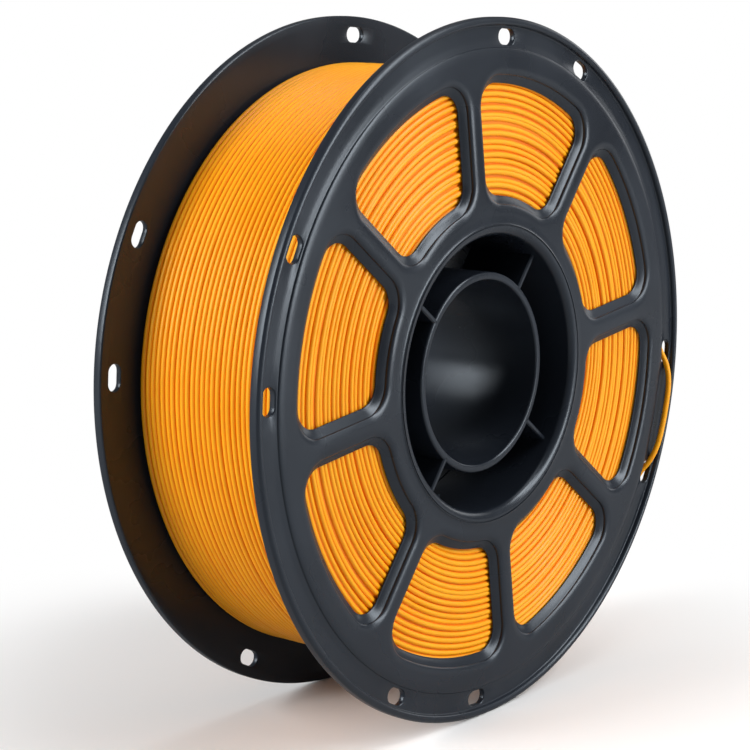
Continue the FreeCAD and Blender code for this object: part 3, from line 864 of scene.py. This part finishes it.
def stage_floor():
    """A pale floor. The camera sees it turn to plain white over the shadow's reach."""
    half, height = FLOOR_SIZE / 2, -RIM * MM
    mesh = bpy.data.meshes.new("floor")
    mesh.from_pydata([(-half, -half, height), (half, -half, height), (half, half, height),
                      (-half, half, height)], [], [(0, 1, 2, 3)])
    floor = bpy.data.objects.new("floor", mesh)
    scene.collection.objects.link(floor)
    material = bpy.data.materials.new("pale_floor")
    material.use_nodes = True
    nodes, link = material.node_tree.nodes, material.node_tree.links.new
    nodes.clear()
    out, mix = nodes.new("ShaderNodeOutputMaterial"), nodes.new("ShaderNodeMixShader")
    dull, glow = nodes.new("ShaderNodeBsdfDiffuse"), nodes.new("ShaderNodeEmission")
    rays, place = nodes.new("ShaderNodeLightPath"), nodes.new("ShaderNodeTexCoord")
    away, far_off = nodes.new("ShaderNodeVectorMath"), nodes.new("ShaderNodeMapRange")
    away.operation, far_off.interpolation_type = "LENGTH", "SMOOTHERSTEP"
    far_off.inputs["From Min"].default_value, far_off.inputs["From Max"].default_value = SHADOW_REACH
    flat, seen = nodes.new("ShaderNodeVectorMath"), nodes.new("ShaderNodeMath")
    flat.operation, seen.operation = "MULTIPLY", "MULTIPLY"
    flat.inputs[1].default_value = (1, 1, 0)
    shade = nodes.new("ShaderNodeMapRange")
    shade.inputs["To Min"].default_value = FLOOR_THROWS
    shade.inputs["To Max"].default_value = FLOOR_SHOWS
    link(place.outputs["Object"], flat.inputs[0])
    link(flat.outputs["Vector"], away.inputs[0])
    link(away.outputs["Value"], far_off.inputs["Value"])
    link(far_off.outputs["Result"], seen.inputs[0])
    link(rays.outputs["Is Camera Ray"], seen.inputs[1])
    link(rays.outputs["Is Camera Ray"], shade.inputs["Value"])
    link(shade.outputs["Result"], dull.inputs["Color"])
    link(seen.outputs["Value"], mix.inputs["Fac"])
    link(dull.outputs["BSDF"], mix.inputs[1])
    link(glow.outputs["Emission"], mix.inputs[2])
    link(mix.outputs["Shader"], out.inputs["Surface"])
    mesh.materials.append(material)
    print("floor at", round(height, 3), "m")


def surround():
    """White where the camera looks past the floor, and a plain level of light elsewhere."""
    world = bpy.data.worlds.new("surround")
    scene.world = world
    world.use_nodes = True
    nodes, link = world.node_tree.nodes, world.node_tree.links.new
    back = nodes["Background"]
    back.inputs["Color"].default_value = (1, 1, 1, 1)
    rays, strength = nodes.new("ShaderNodeLightPath"), nodes.new("ShaderNodeMapRange")
    link(rays.outputs["Is Camera Ray"], strength.inputs["Value"])
    strength.inputs["To Min"].default_value = SURROUND_LIGHT
    strength.inputs["To Max"].default_value = 1.0
    link(strength.outputs["Result"], back.inputs["Strength"])


stage_floor()
surround()

# %% [markdown]
# Dark plastic shows mostly the lamps that it mirrors, so the lamps are large and soft, as a
# product photographer's are. The key stands high before the front flange, and the front lamp
# lower and a little farther off. The top one lights the upper edges, the left one the outside
# of the winding, and the right one, the weakest, draws a line on the far edges. Places and
# sizes are metres, and all the lamps face the spool's middle.

# %% Lamps
LAMPS = (
    ("key", (0.50, -0.80, 0.95), (0.5, 0.5), 8.0),
    ("front", (0.52, -1.08, 0.30), (0.36, 0.8), 10.0),
    ("top", (0.25, -0.10, 1.20), (1.0, 0.8), 4.0),
    ("left", (-1.00, 0.45, 0.45), (0.6, 0.7), 14.0),
    ("right", (1.15, -0.15, 0.30), (0.5, 0.5), 1.5),
)
for name, place, size, power in LAMPS:
    softbox = bpy.data.lights.new(name, "AREA")
    softbox.shape = "RECTANGLE"
    softbox.size, softbox.size_y = size
    softbox.energy = power
    lamp = bpy.data.objects.new(name, softbox)
    lamp.location = place
    lamp.rotation_mode = "QUATERNION"
    lamp.rotation_quaternion = (-Vector(place)).to_track_quat("-Z", "Y")
    scene.collection.objects.link(lamp)
print(len(LAMPS), "lamps,", sum(lamp[-1] for lamp in LAMPS), "W")

# %% [markdown]
# The camera stands where the photographer's did: to the left of the front flange and a little
# above it, close enough that the far flange looks clearly smaller.

# %% Camera
CAMERA_PLACE = Vector((-0.4740, -0.3702, 0.1037))
CAMERA_AIM = Vector((-0.0074, 0.0083, -0.0034))
LENS, SENSOR = 100.19, 36.0
lens = bpy.data.cameras.new("camera")
lens.lens, lens.sensor_width = LENS, SENSOR
camera = bpy.data.objects.new("camera", lens)
camera.location = CAMERA_PLACE
camera.rotation_mode = "QUATERNION"
camera.rotation_quaternion = (CAMERA_AIM - CAMERA_PLACE).to_track_quat("-Z", "Y")
scene.collection.objects.link(camera)
scene.camera = camera
print("camera", round((CAMERA_AIM - CAMERA_PLACE).length, 2), "m away")
